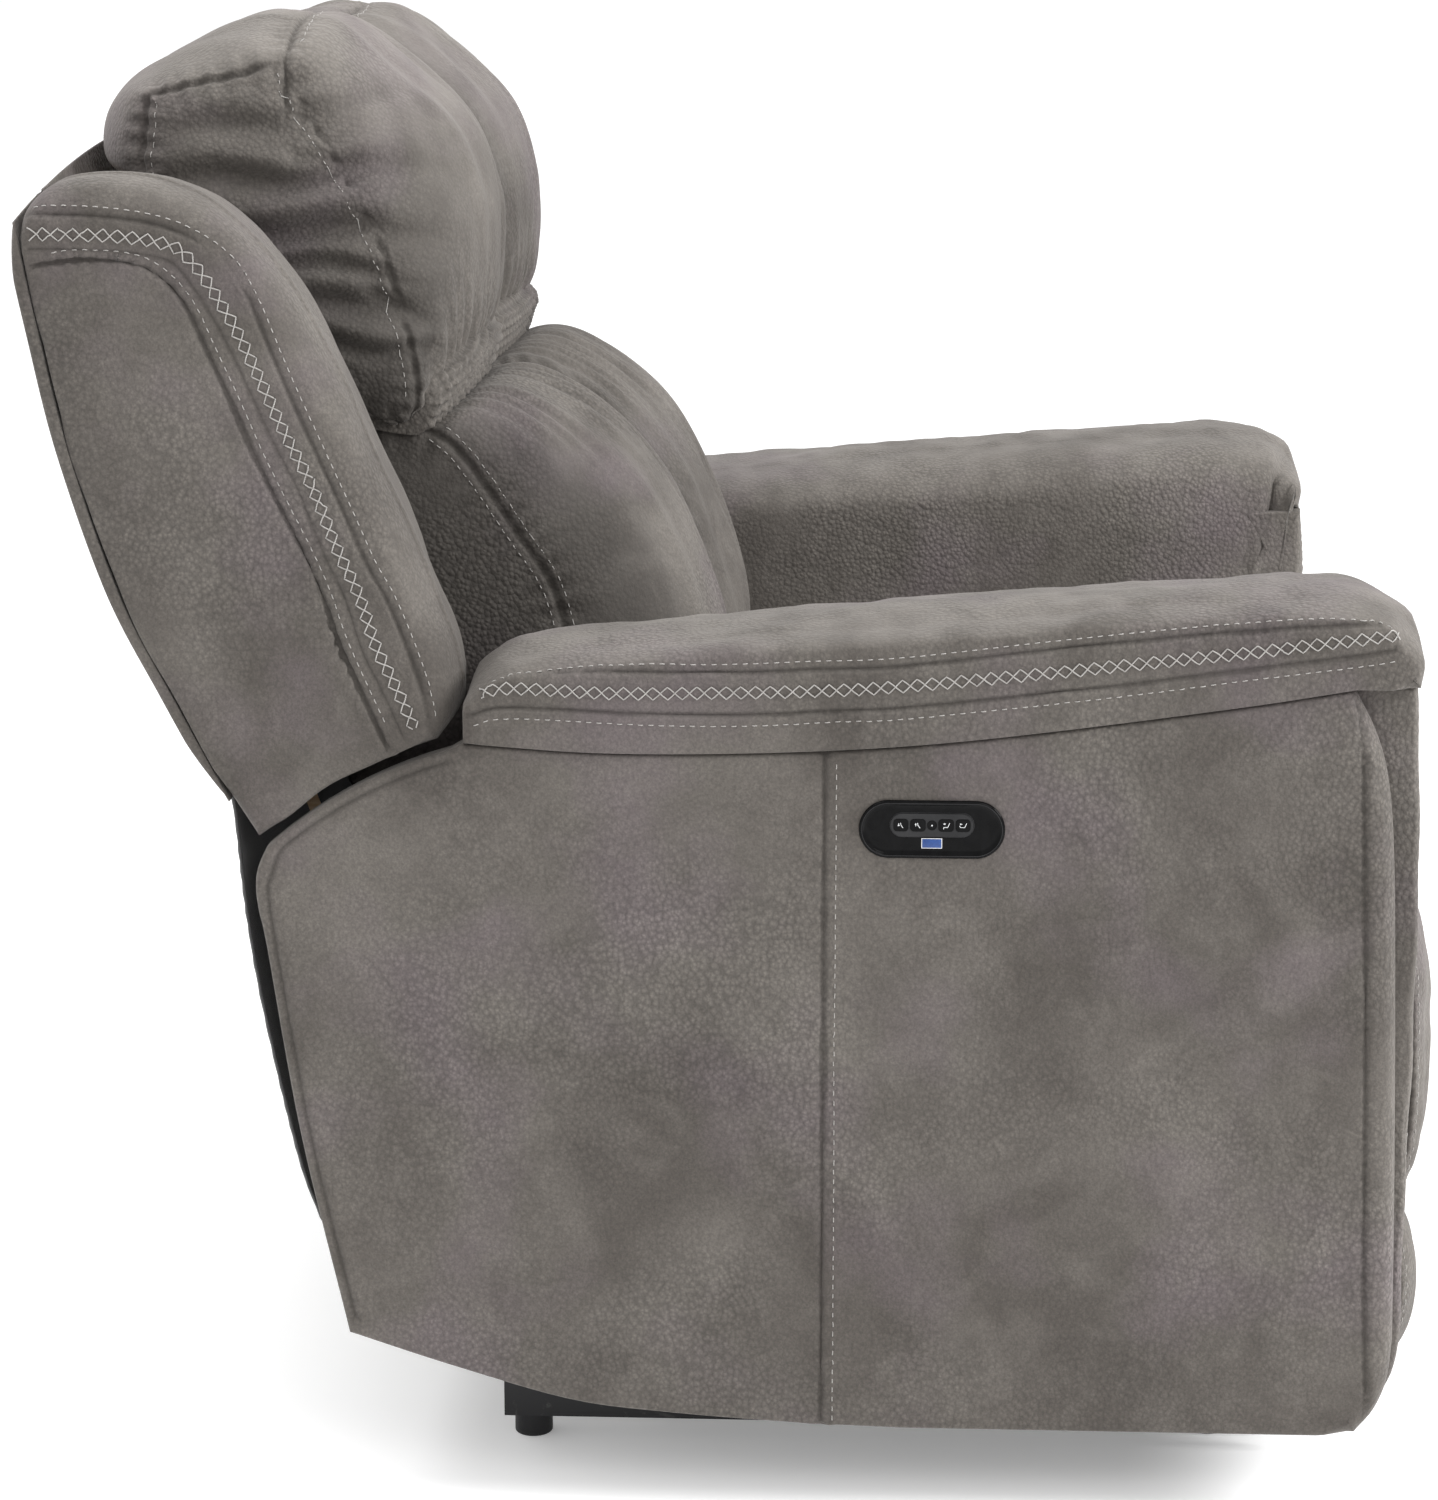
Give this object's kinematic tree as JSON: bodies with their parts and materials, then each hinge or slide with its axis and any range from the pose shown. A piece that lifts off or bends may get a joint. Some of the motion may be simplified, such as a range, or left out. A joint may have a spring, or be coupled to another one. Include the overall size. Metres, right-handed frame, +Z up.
{
  "type": "recliner armchair",
  "caption": "Power recliner armchair with padded arms, winged back, tilting headrest, scissor-link footrest, and an arm panel with push keys and a charging socket.",
  "frame": {"origin": "on the floor, under the middle of the chair's box with the footrest stowed and the back upright", "axes": "+Z up, the chair faces -Y, +X is the sitter's left; the control panel is on the sitter's right arm, at -X"},
  "size_m": [1.04, 1.0765, 1.107],
  "materials": {
    "faux_suede": "matte",
    "black_dust_cloth": "matte",
    "plywood": "matte",
    "black_painted_steel": "satin",
    "zinc_plated_steel": "satin",
    "black_plastic": "matte",
    "gloss_black_plastic": "gloss",
    "socket_metal": "satin",
    "blue_plastic": "satin"
  },
  "bodies": {
    "base": {"base_rail_left": "black_painted_steel", "base_rail_right": "black_painted_steel", "base_cross_tubes": "black_painted_steel", "base_posts": "black_painted_steel", "floor_glides": "black_plastic", "mechanism_plate_left": "black_painted_steel", "mechanism_plate_right": "black_painted_steel", "mechanism_pins": "zinc_plated_steel", "seat_front_rail": "plywood", "seat_rear_rail": "plywood", "seat_springs": "zinc_plated_steel", "seat_cushion": "faux_suede", "arm_frame_left": "plywood", "arm_frame_right": "plywood", "side_panel_left": "faux_suede", "side_panel_right": "faux_suede", "arm_inner_panel_left": "faux_suede", "arm_inner_panel_right": "faux_suede", "arm_front_panel_left": "faux_suede", "arm_front_panel_right": "faux_suede", "arm_pad_left": "faux_suede", "arm_pad_right": "faux_suede", "control_bezel": "gloss_black_plastic", "control_plate": "black_plastic", "usb_shell": "socket_metal", "usb_tongue": "blue_plastic", "control_box": "black_plastic", "power_inlet": "black_plastic", "actuator_motor": "black_plastic", "actuator_rail": "zinc_plated_steel"},
    "rear_links": {"torque_tube": "black_painted_steel", "rear_link_left": "black_painted_steel", "rear_link_right": "black_painted_steel", "rear_link_pins": "zinc_plated_steel"},
    "front_links": {"front_link_left": "black_painted_steel", "front_link_right": "black_painted_steel"},
    "stabilisers": {"stabiliser_links": "black_painted_steel"},
    "footrest": {"footrest_board": "plywood", "footrest_brackets": "black_painted_steel", "upper_footrest_pad": "faux_suede", "lower_footrest_pad": "faux_suede"},
    "drive_nut": {"actuator_nut": "black_plastic"},
    "backrest": {"back_bracket_left": "black_painted_steel", "back_bracket_right": "black_painted_steel", "back_frame": "plywood", "back_panel": "faux_suede", "wing_left": "faux_suede", "wing_right": "faux_suede", "lumbar_cushion": "faux_suede", "rear_cover": "black_dust_cloth", "headrest_hinge_brackets": "black_painted_steel", "headrest_motor": "black_plastic"},
    "headrest": {"headrest_frame": "plywood", "headrest_shaft": "zinc_plated_steel", "headrest_cushion": "faux_suede"},
    "recline_open_key": {"button_recline_open": "gloss_black_plastic"},
    "recline_close_key": {"button_recline_close": "gloss_black_plastic"},
    "home_key": {"button_home": "gloss_black_plastic"},
    "headrest_up_key": {"button_headrest_up": "gloss_black_plastic"},
    "headrest_down_key": {"button_headrest_down": "gloss_black_plastic"}
  },
  "joints": [
    {"name": "back_recline", "type": "hinge", "parent": "base", "child": "backrest", "pos_m": [0, 0.12, 0.245], "axis": [-1, 0, 0], "range_deg": [0, 38]},
    {"name": "headrest_tilt", "type": "hinge", "parent": "backrest", "child": "headrest", "pos_m": [0, 0.268, 0.812], "axis": [1, 0, 0], "range_deg": [0, 25]},
    {"name": "footrest_lift", "type": "hinge", "parent": "base", "child": "rear_links", "pos_m": [0, -0.4, 0.335], "axis": [-1, 0, 0], "range_deg": [0, 65]},
    {"name": "front_link_pivot", "type": "hinge", "parent": "rear_links", "child": "front_links", "pos_m": [0, -0.42171, 0.2119], "axis": [1, 0, 0], "range_deg": [0, 130.1]},
    {"name": "stabiliser_pivot", "type": "hinge", "parent": "rear_links", "child": "stabilisers", "pos_m": [0, -0.44341, 0.0888], "axis": [1, 0, 0], "range_deg": [0, 125.6]},
    {"name": "footrest_pivot", "type": "hinge", "parent": "front_links", "child": "footrest", "pos_m": [0, -0.44341, 0.335], "axis": [-1, 0, 0], "range_deg": [0, 155.1]},
    {"name": "drive_nut_slide", "type": "slide", "parent": "base", "child": "drive_nut", "axis": [0, -1, 0], "range_m": [0, 0.0635]},
    {"name": "press_recline_open", "type": "slide", "parent": "base", "child": "recline_open_key", "axis": [1, 0, 0], "range_m": [0, 0.001], "stiffness_N_per_m": 600, "springref_m": -0.0003},
    {"name": "press_recline_close", "type": "slide", "parent": "base", "child": "recline_close_key", "axis": [1, 0, 0], "range_m": [0, 0.001], "stiffness_N_per_m": 600, "springref_m": -0.0003},
    {"name": "press_home", "type": "slide", "parent": "base", "child": "home_key", "axis": [1, 0, 0], "range_m": [0, 0.001], "stiffness_N_per_m": 600, "springref_m": -0.0003},
    {"name": "press_headrest_up", "type": "slide", "parent": "base", "child": "headrest_up_key", "axis": [1, 0, 0], "range_m": [0, 0.001], "stiffness_N_per_m": 600, "springref_m": -0.0003},
    {"name": "press_headrest_down", "type": "slide", "parent": "base", "child": "headrest_down_key", "axis": [1, 0, 0], "range_m": [0, 0.001], "stiffness_N_per_m": 600, "springref_m": -0.0003}
  ],
  "couplings": [
    {"joint": "front_link_pivot", "follows": "footrest_lift", "ratio": 2},
    {"joint": "stabiliser_pivot", "follows": "footrest_lift", "ratio": 1.9308},
    {"joint": "footrest_pivot", "follows": "footrest_lift", "ratio": 2.3846},
    {"joint": "drive_nut_slide", "follows": "footrest_lift", "m_per_rad": 0.055445}
  ]
}
